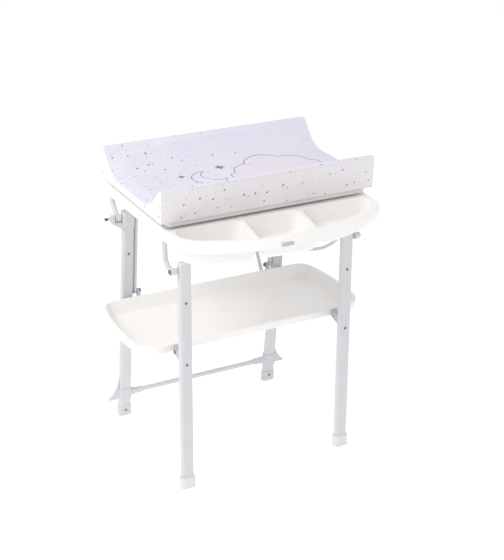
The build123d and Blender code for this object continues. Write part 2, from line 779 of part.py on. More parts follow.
def hinge_leaf(x):
    """Upper hinge leaf under the board, with the middle knuckle."""
    half = hinge_length / 6 - side_play - 0.1
    plate_y1 = hinge_y - hinge_offset
    plate_y0 = plate_y1 - hinge_reach
    plate_z1 = board_bottom_z - touch_gap
    plate_z0 = board_bottom_z - hinge_plate
    knuckle = rod_x(x - half, x + half, hinge_y, hinge_z, hinge_radius)
    neck = block(x - half, x + half, plate_y1 - 1, hinge_y, plate_z0, plate_z1)
    plate = block(x - hinge_length / 2, x + hinge_length / 2, plate_y0, plate_y1, plate_z0, plate_z1)
    leaf = knuckle + neck + plate
    return leaf - rod_x(x - hinge_length, x + hinge_length, hinge_y, hinge_z, hinge_pin_radius + run_clearance)


def hinge_pin(x):
    end = hinge_length / 2 + 2
    return rod_x(x - end, x + end, hinge_y, hinge_z, hinge_pin_radius)


# ---- shelf tray --------------------------------------------------------------------------------------------
def tray_outline():
    """Plan of the shelf tray: straight front and back, bowed ends, round corners."""
    end_front = tray_half_length - tray_front_bow
    end_rear = tray_half_length - tray_rear_bow
    middle_y = (tray_front_y + tray_rear_y) / 2
    front = Line((-end_front, tray_front_y), (end_front, tray_front_y))
    right = ThreePointArc((end_front, tray_front_y), (tray_half_length, middle_y - 10), (end_rear, tray_rear_y))
    rear = Line((end_rear, tray_rear_y), (-end_rear, tray_rear_y))
    left = ThreePointArc((-end_rear, tray_rear_y), (-tray_half_length, middle_y - 10), (-end_front, tray_front_y))
    plan = make_face(front + right + rear + left)
    plan = fillet(plan.vertices().group_by(Axis.Y)[0], tray_front_corner)
    return fillet(plan.vertices().group_by(Axis.Y)[-1], tray_rear_corner)


def lower_tray():
    """Shallow moulded shelf with a turned-down band round it."""
    low_z = tray_top_z - tray_band
    rim = extrude(Pos(0, 0, low_z) * tray_outline(), amount=tray_band)
    rim = fillet(rim.edges().group_by(Axis.Z)[-1], tray_rounding)
    rim -= extrude(Pos(0, 0, low_z - 1) * offset(tray_outline(), amount=-shell), amount=tray_band - shell + 1)
    outer = extrude(Pos(0, 0, tray_top_z) * offset(tray_outline(), amount=-tray_lip + shell),
                    amount=-tray_depth - shell, taper=tray_taper)
    inner = extrude(Pos(0, 0, tray_top_z) * offset(tray_outline(), amount=-tray_lip),
                    amount=-tray_depth, taper=tray_taper)
    outer = fillet(outer.edges().group_by(Axis.Z)[0], tray_floor_radius + shell)
    inner = fillet(inner.edges().group_by(Axis.Z)[0], tray_floor_radius)
    return rim + outer - inner


def tray_ear_rear():
    """Arm from the tray's back band to the rear pivot pin."""
    x1 = hanger_in - ear_side_gap
    x0 = x1 - ear_half_width
    y0 = tray_rear_y - 2
    side = [
        (y0, tray_top_z - tray_band + 2),
        (y0, tray_top_z - 7),
        (tray_rear_pivot_y - 4, tray_rear_pivot_z + 9),
        (tray_rear_pivot_y + 9, tray_rear_pivot_z),
        (tray_rear_pivot_y + 4, tray_rear_pivot_z - 9),
    ]
    ear = profile_x(side, x0, x1) + rod_x(x0, x1, tray_rear_pivot_y, tray_rear_pivot_z, bolt_diameter / 2 + 5.5)
    ear -= tray_solid
    ear = sorted(ear.solids(), key=lambda s: s.volume)[-1]
    bore = bolt_diameter / 2 + run_clearance
    return ear - rod_x(x0 - through, x1 + through, tray_rear_pivot_y, tray_rear_pivot_z, bore)


def tray_ear_front():
    """Arm from the tray's front band to the pin in the front leg's fork."""
    x0 = leg_x - ear_half_width
    x1 = leg_x + ear_half_width
    y1 = tray_front_y + 2
    side = [
        (y1, tray_top_z - tray_band + 1),
        (y1, tray_top_z - 3),
        (tray_front_pivot_y + 2, tray_front_pivot_z + 10),
        (tray_front_pivot_y - 4, tray_front_pivot_z + 8),
        (tray_front_pivot_y - 4, tray_front_pivot_z - 9),
    ]
    ear = profile_x(side, x0, x1) + rod_x(x0, x1, tray_front_pivot_y, tray_front_pivot_z, bolt_diameter / 2 + 6.5)
    ear -= tray_solid
    ear = sorted(ear.solids(), key=lambda s: s.volume)[-1]
    bore = bolt_diameter / 2 + ear_bore_clearance
    return ear - rod_x(x0 - through, x1 + through, tray_front_pivot_y, tray_front_pivot_z, bore)


# ---- screws seen on the legs -------------------------------------------------------------------------------
def front_screws():
    heads = []
    for z in front_screw_z:
        y = front_leg_y(z) - (leg_depth / 2 + screw_seat) * math.hypot(1.0, front_lean)
        heads.append(screw_head(leg_x, y, z, (0, -1, front_lean)))
    return heads


def rear_screws():
    heads = []
    for z in rear_screw_z:
        grow = rear_foot_wall if z < foot_height else 0.0
        y = rear_leg_y(z) - (leg_depth / 2 + grow + screw_seat) * math.hypot(1.0, rear_lean)
        heads.append(screw_head(leg_x, y, z, (0, -1, rear_lean)))
    return heads


# ---- assembly ----------------------------------------------------------------------------------------------
tub_solid = tub()
tray_solid = lower_tray()
parts = {}


def add_pair(name, solid):
    """One node for each side; the solid is the right-hand one."""
    parts[name + "_right"] = solid
    parts[name + "_left"] = mirrored(solid)


def add_group(name, solids):
    """One node of identical fasteners on both sides."""
    parts[name] = Compound(children=[s for solid in solids for s in (solid, mirrored(solid))])


bolt_bore = bolt_diameter / 2 + run_clearance
rod_hole = rod_diameter / 2 + run_clearance
add_pair("rear_leg", leg(rear_foot_y, rear_lean, rear_leg_top_z, rear_pivot_y, rear_pivot_z, rod_hole))
add_pair("front_leg", leg(front_foot_y, front_lean, front_leg_top_z, front_pivot_y, front_pivot_z, bolt_bore))
add_pair("rear_foot_cap", foot_cap(rear_foot_y, rear_lean, rear_foot_wall))
add_pair("front_foot_cap", foot_cap(front_foot_y, front_lean, front_foot_wall))
add_pair("front_leg_plug", top_plug())
add_pair("rear_top_bracket", rear_top_bracket())
add_pair("release_button", release_button())
add_pair("fin_bracket", fin_bracket())
add_pair("tray_hanger", tray_hanger())
add_pair("tray_front_bracket", tray_front_bracket())
add_pair("side_rail", side_rail())
add_pair("tray_rear_ear", tray_ear_rear())
add_pair("tray_front_ear", tray_ear_front())
parts["rear_top_rod"] = rear_top_rod()
parts["rear_crossbar"] = rear_crossbar()
parts["rear_brace"] = rear_brace()
parts["tub"] = tub_solid
parts["lower_tray"] = tray_solid
parts["drain_fitting"] = drain_fitting()
parts["drain_plug"] = drain_plug()
parts["drain_hose"] = drain_hose()
parts["hose_nozzle"] = hose_end_fitting()
parts["hose_clip"] = hose_clip()
parts["rim_badge"] = rim_badge()
parts["tub_screws"] = tub_screws()
parts["mat_board"] = mat_board()
parts["changing_mat"] = changing_mat()
parts["board_bumpers"] = board_bumpers()
parts["mat_hinge_bracket_right"] = hinge_bracket(hinge_x)
parts["mat_hinge_bracket_left"] = hinge_bracket(-hinge_x)
parts["mat_hinge_leaf_right"] = hinge_leaf(hinge_x)
parts["mat_hinge_leaf_left"] = hinge_leaf(-hinge_x)
parts["mat_hinge_pins"] = Compound(children=[hinge_pin(-hinge_x), hinge_pin(hinge_x)])
add_group("rail_saddles", [rail_saddle(y) for y in saddle_y])
add_group("front_pivot_bolts", [front_pivot_bolt()])
add_group("front_spacers", [spacer(front_pivot_y, front_pivot_z, bolt_diameter)])
add_group("tray_front_pins", [tray_front_pin()])
add_group("tray_rear_pins", [tray_rear_pin()])
add_group("front_leg_screws", front_screws())
add_group("rear_leg_screws", rear_screws())

outline = Compound(children=[copy.copy(solid) for solid in parts.values()]).bounding_box()
origin_y = (outline.min.Y + outline.max.Y) / 2

for name, solid in parts.items():
    export_step(Pos(0, -origin_y, 0) * solid, f"parts/{name}.step")
print(len(parts), "nodes, origin_y", round(origin_y, 3))
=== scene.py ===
import bpy, bmesh, math
import numpy as np
from mathutils import Matrix, Vector
from mathutils.bvhtree import BVHTree


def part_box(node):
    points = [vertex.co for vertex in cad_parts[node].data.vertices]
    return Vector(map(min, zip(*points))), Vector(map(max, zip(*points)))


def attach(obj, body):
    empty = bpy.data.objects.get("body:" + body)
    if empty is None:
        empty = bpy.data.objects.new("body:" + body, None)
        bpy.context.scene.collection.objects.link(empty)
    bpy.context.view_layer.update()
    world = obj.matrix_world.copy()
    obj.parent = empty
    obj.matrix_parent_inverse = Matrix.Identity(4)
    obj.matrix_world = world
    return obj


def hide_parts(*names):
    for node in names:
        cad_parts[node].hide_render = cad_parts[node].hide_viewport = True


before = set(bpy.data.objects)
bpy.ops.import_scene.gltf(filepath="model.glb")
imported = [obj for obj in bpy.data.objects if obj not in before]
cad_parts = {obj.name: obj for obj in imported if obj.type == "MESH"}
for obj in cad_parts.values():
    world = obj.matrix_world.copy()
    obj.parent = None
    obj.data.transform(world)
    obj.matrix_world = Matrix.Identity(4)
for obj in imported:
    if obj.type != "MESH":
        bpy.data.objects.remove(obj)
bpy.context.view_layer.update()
print("frame loaded:", len(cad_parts), "nodes")

scene = bpy.context.scene
scene.view_settings.view_transform = "Standard"  # plain sRGB, so the hex colours below are what shows


# ---------- small helpers ----------
def hexColour(text):
    # sRGB hex to the linear colour that the shader wants
    parts = [int(text[i:i + 2], 16) / 255 for i in (1, 3, 5)]
    return [c / 12.92 if c <= 0.04045 else ((c + 0.055) / 1.055) ** 2.4 for c in parts] + [1.0]


def addNode(tree, kind, settings=None, links=None):
    # settings: small-letter names are the node's own, the rest are input sockets by name or number
    node = tree.nodes.new(kind)
    for key, value in (settings or {}).items():
        if isinstance(key, str) and key[0].islower():
            setattr(node, key, value)
        else:
            node.inputs[key].default_value = value
    for key, socket in (links or {}).items():
        tree.links.new(socket, node.inputs[key])
    return node


def newMaterial(name, settings):
    material = bpy.data.materials.new(name)
    material.use_nodes = True
    tree = material.node_tree
    tree.nodes.clear()
    surface = addNode(tree, "ShaderNodeBsdfPrincipled", settings)
    addNode(tree, "ShaderNodeOutputMaterial", links={"Surface": surface.outputs[0]})
    return material, tree, surface


def perMm(size):
    # noise scale whose features are about this many millimetres across
    return 1000.0 / size


def paint(material, *names):
    for name in names:
        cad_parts[name].data.materials.clear()
        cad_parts[name].data.materials.append(material)


def bothSides(*names):
    return [name + side for name in names for side in ("_left", "_right")]


def newPiece(name, points, faces, body, material):
    mesh = bpy.data.meshes.new(name)
    mesh.from_pydata([tuple(p) for p in points], [], faces)
    mesh.update()
    piece = bpy.data.objects.new(name, mesh)
    scene.collection.objects.link(piece)
    mesh.materials.append(material)
    if body:
        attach(piece, body)
    return piece


def smoothShade(piece, angle=None):
    piece.data.shade_smooth()
    if angle:
        piece.data.set_sharp_from_angle(angle=math.radians(angle))


# ---------- materials ----------
def mottle(tree, surface, base, dark, sizeMm, roughLow, roughHigh):
    # slow change of colour and gloss, as any coated or moulded surface has
    place = addNode(tree, "ShaderNodeTexCoord").outputs["Object"]
    cloud = addNode(tree, "ShaderNodeTexNoise", {"Scale": perMm(sizeMm), "Detail": 4.0}, {"Vector": place}).outputs["Fac"]
    shade = addNode(tree, "ShaderNodeMix", {"data_type": "RGBA", 6: hexColour(dark), 7: hexColour(base)}, {0: cloud})
    tree.links.new(shade.outputs[2], surface.inputs["Base Color"])
    gloss = addNode(tree, "ShaderNodeMapRange", {"To Min": roughLow, "To Max": roughHigh}, {"Value": cloud})
    tree.links.new(gloss.outputs["Result"], surface.inputs["Roughness"])
    return place


def skin(tree, surface, place, layers):
    # bump layers: (size of the grain in mm, its height in mm, how much of it)
    normal = None
    for sizeMm, heightMm, strength in layers:
        grain = addNode(tree, "ShaderNodeTexNoise", {"Scale": perMm(sizeMm), "Detail": 3.0}, {"Vector": place})
        links = {"Height": grain.outputs["Fac"]}
        if normal:
            links["Normal"] = normal
        normal = addNode(tree, "ShaderNodeBump", {"Strength": strength, "Distance": heightMm / 1000}, links).outputs[0]
    tree.links.new(normal, surface.inputs["Normal"])


def powderCoatedSteel():
    # polyester powder baked on tube: satin, with a fine orange peel of 1 to 2 mm
    material, tree, surface = newMaterial("powderCoatedSteel", {"IOR": 1.5, "Coat Weight": 0.08})
    place = mottle(tree, surface, "#d8d9db", "#d0d1d4", 70, 0.36, 0.48)
    skin(tree, surface, place, [(2.2, 0.10, 0.35), (0.9, 0.04, 0.3)])
    return material


def mouldedPolypropylene(name, base, dark):
    # injection-moulded PP: waxy, soft highlights, faint sink marks some centimetres wide
    material, tree, surface = newMaterial(name, {
        "IOR": 1.49, "Subsurface Weight": 0.06, "Subsurface Scale": 0.004, "Coat Weight": 0.12, "Coat Roughness": 0.25,
    })
    surface.inputs["Subsurface Radius"].default_value = (1.0, 0.85, 0.7)
    place = mottle(tree, surface, base, dark, 160, 0.24, 0.36)
    skin(tree, surface, place, [(45, 0.5, 0.25), (1.6, 0.03, 0.25)])
    return material


def mouldedNylon(name, base, dark):
    # glass-filled nylon: dry and even, with a spark-eroded grain of about a millimetre
    material, tree, surface = newMaterial(name, {"IOR": 1.53})
    place = mottle(tree, surface, base, dark, 30, 0.44, 0.58)
    skin(tree, surface, place, [(1.2, 0.08, 0.5)])
    return material


def zincPlatedSteel():
    # bright zinc over turned steel: grey metal with faint rings left by the lathe
    material, tree, surface = newMaterial("zincPlatedSteel", {"Metallic": 1.0})
    place = mottle(tree, surface, "#8f9196", "#6d6f74", 6, 0.28, 0.45)
    skin(tree, surface, place, [(0.8, 0.05, 0.4)])
    return material


def melamineBoard():
    # melamine-faced chipboard: off-white, its colour toned down to warm grey as painted shade for the shadow its edge
    # sits in under the mat; paper fleck under a satin film
    material, tree, surface = newMaterial("melamineBoard", {"IOR": 1.5, "Coat Weight": 0.1})
    # both tones are off-white darkened towards warm grey: painted shade for the shadow under the mat
    place = mottle(tree, surface, "#e8e4e1", "#dcd7d3", 4, 0.42, 0.55)
    skin(tree, surface, place, [(3.0, 0.05, 0.3)])
    return material


def nitrileRubber():
    # black moulded rubber: dull, with a fine bloom
    material, tree, surface = newMaterial("nitrileRubber", {"IOR": 1.52})
    place = mottle(tree, surface, "#3b3b3d", "#2c2c2e", 3, 0.65, 0.85)
    skin(tree, surface, place, [(0.8, 0.08, 0.5)])
    return material


def blackAbs():
    # moulded ABS push button: dark, semi-gloss, light spark grain
    material, tree, surface = newMaterial("blackAbs", {"IOR": 1.54, "Coat Weight": 0.15})
    place = mottle(tree, surface, "#4a4b4e", "#3d3e41", 5, 0.32, 0.48)
    skin(tree, surface, place, [(0.7, 0.05, 0.4)])
    return material


def flexiblePvcHose():
    # soft extruded PVC: milky grey, glossy, with faint draw lines
    material, tree, surface = newMaterial("flexiblePvcHose", {"IOR": 1.52, "Subsurface Weight": 0.04, "Coat Weight": 0.2})
    place = mottle(tree, surface, "#d3d1ce", "#c6c4c1", 12, 0.26, 0.4)
    skin(tree, surface, place, [(2.0, 0.1, 0.3)])
    return material


def anodisedLabelPlate():
    # thin anodised aluminium oval: pale satin field with a fine grey border line and no lettering
    material, tree, surface = newMaterial("anodisedLabelPlate", {"Metallic": 0.2})
    low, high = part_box("rim_badge")
    middle, half = (low + high) / 2, (high - low) / 2
    place = addNode(tree, "ShaderNodeTexCoord").outputs["Object"]
    axes = addNode(tree, "ShaderNodeSeparateXYZ", links={"Vector": place}).outputs
    # distance from the plate's long middle line, as a share of its half height
    along = addNode(tree, "ShaderNodeMath", {"operation": "SUBTRACT", 1: middle.x}, {0: axes["X"]}).outputs[0]
    along = addNode(tree, "ShaderNodeMath", {"operation": "ABSOLUTE"}, {0: along}).outputs[0]
    past = addNode(tree, "ShaderNodeMath", {"operation": "SUBTRACT", 1: half.x - half.z}, {0: along}).outputs[0]
    past = addNode(tree, "ShaderNodeMath", {"operation": "MAXIMUM", 1: 0.0}, {0: past}).outputs[0]
    above = addNode(tree, "ShaderNodeMath", {"operation": "SUBTRACT", 1: middle.z}, {0: axes["Z"]}).outputs[0]
    reach = addNode(tree, "ShaderNodeCombineXYZ", links={"X": past, "Y": above}).outputs[0]
    reach = addNode(tree, "ShaderNodeVectorMath", {"operation": "LENGTH"}, {0: reach}).outputs["Value"]
    inset = addNode(tree, "ShaderNodeMath", {"operation": "SUBTRACT", 1: half.z - 0.0016}, {0: reach}).outputs[0]
    inset = addNode(tree, "ShaderNodeMath", {"operation": "ABSOLUTE"}, {0: inset}).outputs[0]
    border = addNode(tree, "ShaderNodeMath", {"operation": "LESS_THAN", 1: 0.0007}, {0: inset}).outputs[0]
    brush = addNode(tree, "ShaderNodeTexNoise", {"Scale": perMm(1.5), "Detail": 3.0}, {"Vector": place}).outputs["Fac"]
    field = addNode(tree, "ShaderNodeMix", {"data_type": "RGBA", 6: hexColour("#c9c9cc"), 7: hexColour("#d6d6d8")},
                    {0: brush})
    ink = addNode(tree, "ShaderNodeMix", {"data_type": "RGBA", 7: hexColour("#6d6d72")}, {0: border, 6: field.outputs[2]})
    tree.links.new(ink.outputs[2], surface.inputs["Base Color"])
    gloss = addNode(tree, "ShaderNodeMapRange", {"To Min": 0.3, "To Max": 0.45}, {"Value": brush})
    tree.links.new(gloss.outputs["Result"], surface.inputs["Roughness"])
    return material


steel = powderCoatedSteel()
tubPlastic = mouldedPolypropylene("whitePolypropyleneTub", "#fbfaf8", "#f7f5f2")
trayPlastic = mouldedPolypropylene("whitePolypropyleneTray", "#faf8f6", "#f5f3f0")
frontFootNylon = mouldedNylon("paleGreyNylon", "#e4e4e1", "#dcdcd8")
legNylon = mouldedNylon("legGreyNylon", "#d6d8da", "#cdcfd2")
forkNylon = mouldedNylon("midGreyNylon", "#bfc1c6", "#b3b5ba")
zinc = zincPlatedSteel()
board = melamineBoard()
rubber = nitrileRubber()
buttonAbs = blackAbs()
hosePvc = flexiblePvcHose()

paint(steel, *bothSides("rear_leg", "front_leg", "side_rail", "tray_hanger"), "rear_crossbar", "rear_brace",
      "rear_top_rod")
paint(tubPlastic, "tub")
paint(trayPlastic, "lower_tray")
paint(frontFootNylon, *bothSides("front_foot_cap", "front_leg_plug"), "rail_saddles", "drain_fitting", "hose_nozzle")
paint(legNylon, *bothSides("rear_foot_cap", "rear_top_bracket", "fin_bracket"))
paint(forkNylon, *bothSides("tray_front_bracket", "tray_front_ear", "tray_rear_ear"), "front_spacers", "drain_plug",
      "hose_clip")
paint(zinc, "tray_rear_pins", "tray_front_pins", "rear_leg_screws", "front_leg_screws", "tub_screws",
      "front_pivot_bolts", "mat_hinge_pins", *bothSides("mat_hinge_bracket", "mat_hinge_leaf"))
paint(board, "mat_board")
paint(rubber, "board_bumpers")
paint(buttonAbs, *bothSides("release_button"))
paint(anodisedLabelPlate(), "rim_badge")
print("materials on the frame: done")

# ---------- camera ----------
cameraPlace = {"position": (-2.024, -3.6713, 2.612), "azimuth": -29.214, "elevation": 25.076, "roll": 1.591, "lens": 85.306}


def addCamera(at):
    turn, lift, roll = (math.radians(at[key]) for key in ("azimuth", "elevation", "roll"))
    back = Vector((math.sin(turn) * math.cos(lift), -math.cos(turn) * math.cos(lift), math.sin(lift)))
    level = Vector((math.cos(turn), math.sin(turn), 0))
    upright = back.cross(level)
    right = math.cos(roll) * level + math.sin(roll) * upright
    up = math.cos(roll) * upright - math.sin(roll) * level
    camera = bpy.data.objects.new("camera", bpy.data.cameras.new("camera"))
    scene.collection.objects.link(camera)
    camera.matrix_world = Matrix.Translation(at["position"]) @ Matrix((right, up, back)).transposed().to_4x4()
    camera.data.lens = at["lens"]
    camera.data.sensor_width = 36.0
    camera.data.clip_end = 100.0
    scene.camera = camera


addCamera(cameraPlace)

# ---------- drain hose ----------
# the route of the hose under the rim, in metres, from the spigot to its clip
hoseSettings = {
    "diameter": 0.011,
    "length": 0.265,
    "route": [
        (0.069, -0.108321, 0.814),
        (0.104, -0.148321, 0.815),
        (0.131, -0.169321, 0.812),
        (0.164, -0.177321, 0.806),
        (0.197, -0.179321, 0.805),
        (0.228, -0.181321, 0.813),
        (0.252, -0.186321, 0.831),
        (0.265, -0.193321, 0.853),
        (0.268, -0.198321, 0.875),
    ],
}


def addHose(hose):
    curve = bpy.data.curves.new("drainHose", "CURVE")
    curve.dimensions = "3D"
    spline = curve.splines.new("NURBS")
    spline.points.add(len(hose["route"]) - 1)
    for point, place in zip(spline.points, hose["route"]):
        point.co = (*place, 1.0)
    spline.order_u = 3
    spline.use_endpoint_u = True
    spline.resolution_u = 16
    curve.bevel_depth = hose["diameter"] / 2
    curve.bevel_resolution = 8
    curve.use_fill_caps = True
    curve.materials.append(hosePvc)
    piece = bpy.data.objects.new("drainHose", curve)
    scene.collection.objects.link(piece)
    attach(piece, "top_frame")
    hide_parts("drain_hose")


addHose(hoseSettings)
print("drain hose: done")

# ---------- changing mat ----------
matLow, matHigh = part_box("changing_mat")
matMiddle = (matLow + matHigh) / 2
matSettings = {
    "inset": 0.003,          # the pad swells by about this much all round
    "middleThickness": 0.029,
    "valleyHalf": 0.105,     # half width of the thin middle
    "topStrip": 0.018,       # flat top of a wing
    "wingCurve": 1.8,        # how hollow a wing's inner side is
    "voxel": 0.006,
    "pressure": 4.0,
    "frames": 20,
    "swellCap": 0.007,
    "seamReach": 0.007,      # cloth this near a weld doesn't swell
    "crestBow": 0.008,
    "foldHeight": 0.022,     # above the thin middle
    "foldLength": 0.09,
    "foldWidth": 0.005,
    "foldDepth": 0.0016,
    "beadRadius": 0.0017,
    "beadLift": 0.0004,
    "beadStep": 0.012,
}


def matProfile(mat, inset=0.0):
    # closed outline across the mat, (y, z), from the lower front edge round over both wings
    half = (matHigh.y - matLow.y) / 2 - inset
    base = matLow.z + inset
    crest = matHigh.z - inset
    floor = matLow.z + mat["middleThickness"]
    slope = half - mat["topStrip"] - mat["valleyHalf"]
    wing = []
    for step in range(13):
        share = 1 - step / 12
        wing.append((mat["valleyHalf"] + slope * share, floor + (crest - floor) * share ** mat["wingCurve"]))
    front = [(-half, base), (-half, crest)] + [(-y, z) for y, z in wing]
    rear = [(y, z) for y, z in reversed(wing)] + [(half, crest), (half, base)]
    return [(matMiddle.y + y, z) for y, z in front + rear]


def extrudeAlongX(outline, x0, x1):
    count = len(outline)
    points = [(x, y, z) for x in (x0, x1) for y, z in outline]
    faces = [(i, i + count, (i + 1) % count + count, (i + 1) % count) for i in range(count)]
    faces += [tuple(range(count)), tuple(range(2 * count - 1, count - 1, -1))]
    return points, faces


def weldLines(mat):
    # where the vinyl is welded: both end outlines, the two crests and the two lower edges
    outline = matProfile(mat, mat["inset"])
    x0, x1 = matLow.x + mat["inset"], matHigh.x - mat["inset"]
    lines = [[(x, y, z) for y, z in outline + outline[:1]] for x in (x0, x1)]
    for y, z in (outline[0], outline[1], outline[-2], outline[-1]):
        lines.append([(x0, y, z), (x1, y, z)])
    return [[Vector(p) for p in line] for line in lines]


def distanceToLines(points, lines):
    best = np.full(len(points), 1e9)
    for line in lines:
        for a, b in zip(line, line[1:]):
            a, d = np.array(a), np.array(b) - np.array(a)
            t = np.clip(((points - a) @ d) / max(d @ d, 1e-12), 0, 1)
            best = np.minimum(best, np.linalg.norm(points - a - t[:, None] * d, axis=1))
    return best


def meshPoints(mesh):
    co = np.zeros(len(mesh.vertices) * 3)
    mesh.vertices.foreach_get("co", co)
    return co.reshape(-1, 3)


def setMeshPoints(mesh, points):
    mesh.vertices.foreach_set("co", np.asarray(points, float).ravel())
    mesh.update()


def applyModifiers(piece):
    bpy.context.view_layer.update()
    shaped = bpy.data.meshes.new_from_object(piece.evaluated_get(bpy.context.evaluated_depsgraph_get()))
    old = piece.data
    piece.modifiers.clear()
    piece.data = shaped
    bpy.data.meshes.remove(old)


def swell(piece, mat):
    # cloth with air pressure inside, held at its welds
    remesh = piece.modifiers.new("remesh", "REMESH")
    remesh.mode = "VOXEL"
    remesh.voxel_size = mat["voxel"]
    applyModifiers(piece)
    start = meshPoints(piece.data)
    lines = weldLines(mat)
    near = distanceToLines(start, lines) < mat["seamReach"]
    held = piece.vertex_groups.new(name="held")
    held.add([int(i) for i in np.nonzero(near)[0]], 1.0, "REPLACE")
    cloth = piece.modifiers.new("cloth", "CLOTH")
    cloth.settings.quality = 4
    cloth.settings.mass = 0.4
    cloth.settings.tension_stiffness = 12
    cloth.settings.compression_stiffness = 12
    cloth.settings.bending_stiffness = 0.8
    cloth.settings.use_pressure = True
    cloth.settings.uniform_pressure_force = mat["pressure"]
    cloth.settings.effector_weights.gravity = 0.0
    cloth.settings.vertex_group_mass = "held"
    cloth.collision_settings.use_collision = False
    cloth.point_cache.frame_start = 1
    cloth.point_cache.frame_end = mat["frames"]
    for step in range(1, mat["frames"] + 1):
        scene.frame_set(step)
    applyModifiers(piece)
    scene.frame_set(1)
    end = meshPoints(piece.data)
    move = end - start
    size = np.linalg.norm(move, axis=1)
    move *= (np.minimum(size, mat["swellCap"]) / np.maximum(size, 1e-9))[:, None]
    setMeshPoints(piece.data, start + move)


def handledShape(piece, mat):
    # the front wing bows a little along its crest, and the rear one has a fold near its right end
    points = meshPoints(piece.data)
    x, y, z = points[:, 0], points[:, 1] - matMiddle.y, points[:, 2]
    floor = matLow.z + mat["middleThickness"]
    height = np.clip((z - floor) / (matHigh.z - floor), 0, 1)
    bow = mat["crestBow"] * (1 - ((x - 0.12) / 0.5) ** 2) - 0.3 * mat["crestBow"]
    points[:, 2] += np.where(y < 0, height * bow, 0)
    across = (z - floor - mat["foldHeight"]) / mat["foldWidth"]
    along = np.clip((x - matHigh.x + mat["foldLength"]) / mat["foldLength"], 0, 1)
    dent = mat["foldDepth"] * along * np.exp(-across ** 2) * ((y > 0.1) & (y < matHigh.y - matMiddle.y - 0.02))
    points[:, 1] += dent
    points[:, 2] -= dent
    setMeshPoints(piece.data, points)


def settleOnBoard(piece):
    points = meshPoints(piece.data)
    points[:, 2] = np.maximum(points[:, 2], matLow.z + 0.0003)
    setMeshPoints(piece.data, points)


def printMap(piece, mat):
    # lays the printed sheet out flat: inside by arc length, and each outer panel beside it
    mesh = piece.data
    uv = mesh.uv_layers.new(name="print")
    points = meshPoints(mesh)
    count = len(mesh.polygons)
    normals = np.zeros(count * 3)
    mesh.polygons.foreach_get("normal", normals)
    normals = normals.reshape(-1, 3)
    corner = np.zeros(len(mesh.loops), int)
    mesh.loops.foreach_get("vertex_index", corner)
    total = np.zeros(count, int)
    mesh.polygons.foreach_get("loop_total", total)
    face = np.repeat(np.arange(count), total)
    p, n = points[corner], normals[face]
    y, z = p[:, 1] - matMiddle.y, p[:, 2] - matLow.z
    u = p[:, 0].copy()
    v = y + np.sign(y) * 0.41 * np.maximum(z - mat["middleThickness"], 0)
    facing = (np.abs(n[:, 1]) > 0.72) & (np.abs(y) > matHigh.y - matMiddle.y - 0.02)
    v[facing] = z[facing] + np.sign(y[facing]) * 1.0
    ends = np.abs(n[:, 0]) > 0.72
    u[ends] = y[ends] + np.sign(p[ends, 0]) * 2.0
    v[ends] = z[ends]
    uv.data.foreach_set("uv", np.stack([u, v], 1).ravel())


